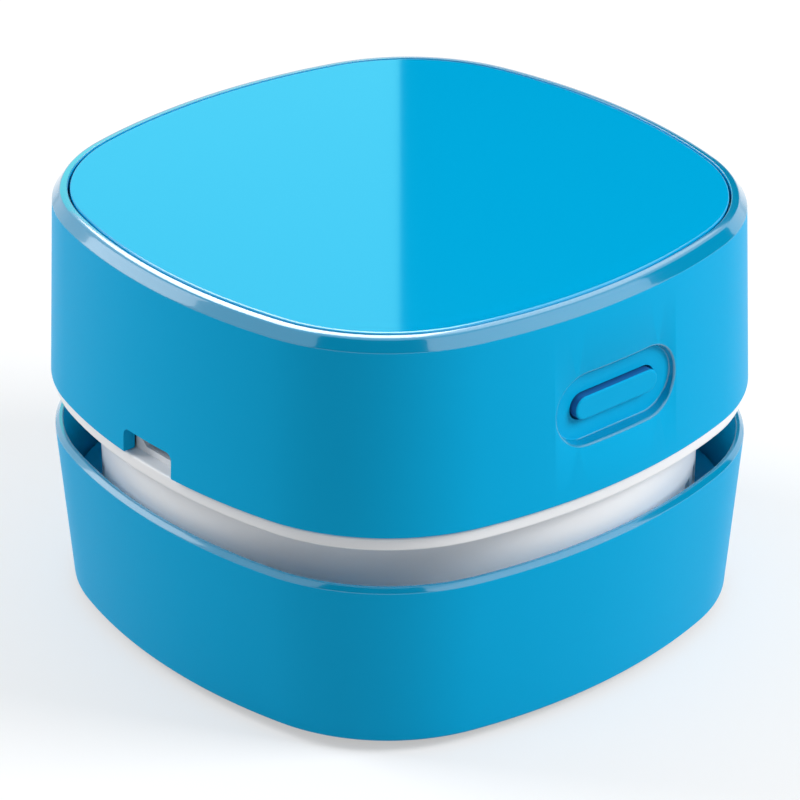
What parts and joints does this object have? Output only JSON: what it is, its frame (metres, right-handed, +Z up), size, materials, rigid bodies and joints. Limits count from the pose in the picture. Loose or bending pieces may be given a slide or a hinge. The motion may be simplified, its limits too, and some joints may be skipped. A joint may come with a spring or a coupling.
{
  "type": "desktop mini vacuum cleaner",
  "caption": "Palm-sized desk vacuum: a rounded-square body in two halves, with a power button, a charging port, a fan and filter inside, and a dust bin with a suction mouth below.",
  "frame": {"origin": "on the floor, under the middle of the body", "axes": "+Z up along the fan's axis; the power button faces -Y and the charging port faces -X"},
  "size_m": [0.0848, 0.085, 0.0586],
  "materials": {
    "blue_abs": "satin",
    "white_abs": "satin",
    "grey_abs": "fine texture",
    "black_nylon": "matte",
    "grey_rubber": "matte",
    "filter_felt": "felt",
    "steel": "zinc plated",
    "brass": "plain",
    "board_green": "solder mask",
    "cell_sleeve": "shrink sleeve",
    "red_pvc": "satin",
    "black_pvc": "satin"
  },
  "bodies": {
    "base": {"lower_housing": "blue_abs", "barrel_seat": "blue_abs", "base_plate": "grey_abs", "seal_ring": "grey_rubber", "brush_strip_right": "black_nylon", "brush_strip_rear": "black_nylon", "brush_strip_left": "black_nylon", "brush_strip_front": "black_nylon", "foot_1": "grey_rubber", "foot_2": "grey_rubber", "foot_3": "grey_rubber", "foot_4": "grey_rubber", "base_screw_1": "steel", "base_screw_2": "steel", "base_screw_3": "steel", "base_screw_4": "steel"},
    "upper": {"top_cover": "blue_abs", "upper_housing": "blue_abs", "inner_chassis": "white_abs", "switch_body": "black_nylon", "switch_board": "board_green", "motor_can": "steel", "motor_end_cap": "black_nylon", "motor_terminal_rear": "brass", "motor_terminal_front": "brass", "motor_clamp": "steel", "fan_cover": "white_abs", "battery_cell": "cell_sleeve", "cell_holder": "black_nylon", "control_board": "board_green", "charge_port_shell": "steel", "charge_port_tongue": "black_nylon", "housing_screw_1": "steel", "housing_screw_2": "steel", "housing_screw_3": "steel", "housing_screw_4": "steel", "fan_cover_screw_1": "steel", "fan_cover_screw_2": "steel", "fan_cover_screw_3": "steel", "clamp_screw_1": "steel", "clamp_screw_2": "steel", "board_screw_1": "steel", "board_screw_2": "steel", "switch_screw_1": "steel", "switch_screw_2": "steel", "holder_screw_1": "steel", "holder_screw_2": "steel", "motor_lead_red": "red_pvc", "motor_lead_black": "black_pvc", "battery_lead_red": "red_pvc", "battery_lead_black": "black_pvc", "switch_lead_red": "red_pvc", "switch_lead_black": "black_pvc"},
    "rotor": {"motor_armature": "steel", "motor_shaft": "steel", "impeller": "white_abs"},
    "filter": {"filter_frame": "grey_abs", "filter_pad": "filter_felt"},
    "button": {"power_button": "blue_abs"},
    "plunger": {"switch_plunger": "white_abs"}
  },
  "joints": [
    {"name": "upper_lift", "type": "slide", "parent": "base", "child": "upper", "axis": [0, 0, 1], "range_m": [0, 0.03]},
    {"name": "filter_pull", "type": "slide", "parent": "upper", "child": "filter", "axis": [0, 0, -1], "range_m": [0, 0.003]},
    {"name": "button_press", "type": "slide", "parent": "upper", "child": "button", "axis": [0, 1, 0], "range_m": [0, 0.0008], "stiffness_N_per_m": 1200},
    {"name": "plunger_press", "type": "slide", "parent": "upper", "child": "plunger", "axis": [0, 1, 0], "range_m": [0, 0.0008], "stiffness_N_per_m": 300},
    {"name": "fan_spin", "type": "hinge", "parent": "upper", "child": "rotor", "pos_m": [0, 0, 0.0255], "axis": [0, 0, 1], "continuous": true}
  ],
  "couplings": [
    {"joint": "plunger_press", "follows": "button_press", "ratio": 1}
  ]
}
